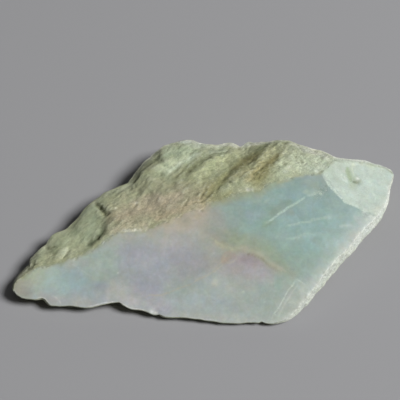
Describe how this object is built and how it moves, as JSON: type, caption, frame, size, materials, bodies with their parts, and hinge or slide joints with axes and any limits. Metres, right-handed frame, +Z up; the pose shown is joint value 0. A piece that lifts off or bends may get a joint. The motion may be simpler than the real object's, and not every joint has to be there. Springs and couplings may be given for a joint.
{
  "type": "rough jadeite stone",
  "caption": "Wedge of rough jadeite: a sawn, lightly polished face in aqua, lavender and mint, a folded olive rind behind it, and broken sugary edges.",
  "frame": {"origin": "under the middle of the stone's box, on the surface that it rests on", "axes": "+X along the stone, from its thin left tip to its right tip; +Y away from the sawn face, towards the rind; +Z up"},
  "size_m": [0.1048, 0.0574, 0.0142],
  "materials": {
    "jadeite_stone": "satin"
  },
  "bodies": {
    "root": {"jadeite": "jadeite_stone"}
  },
  "joints": []
}
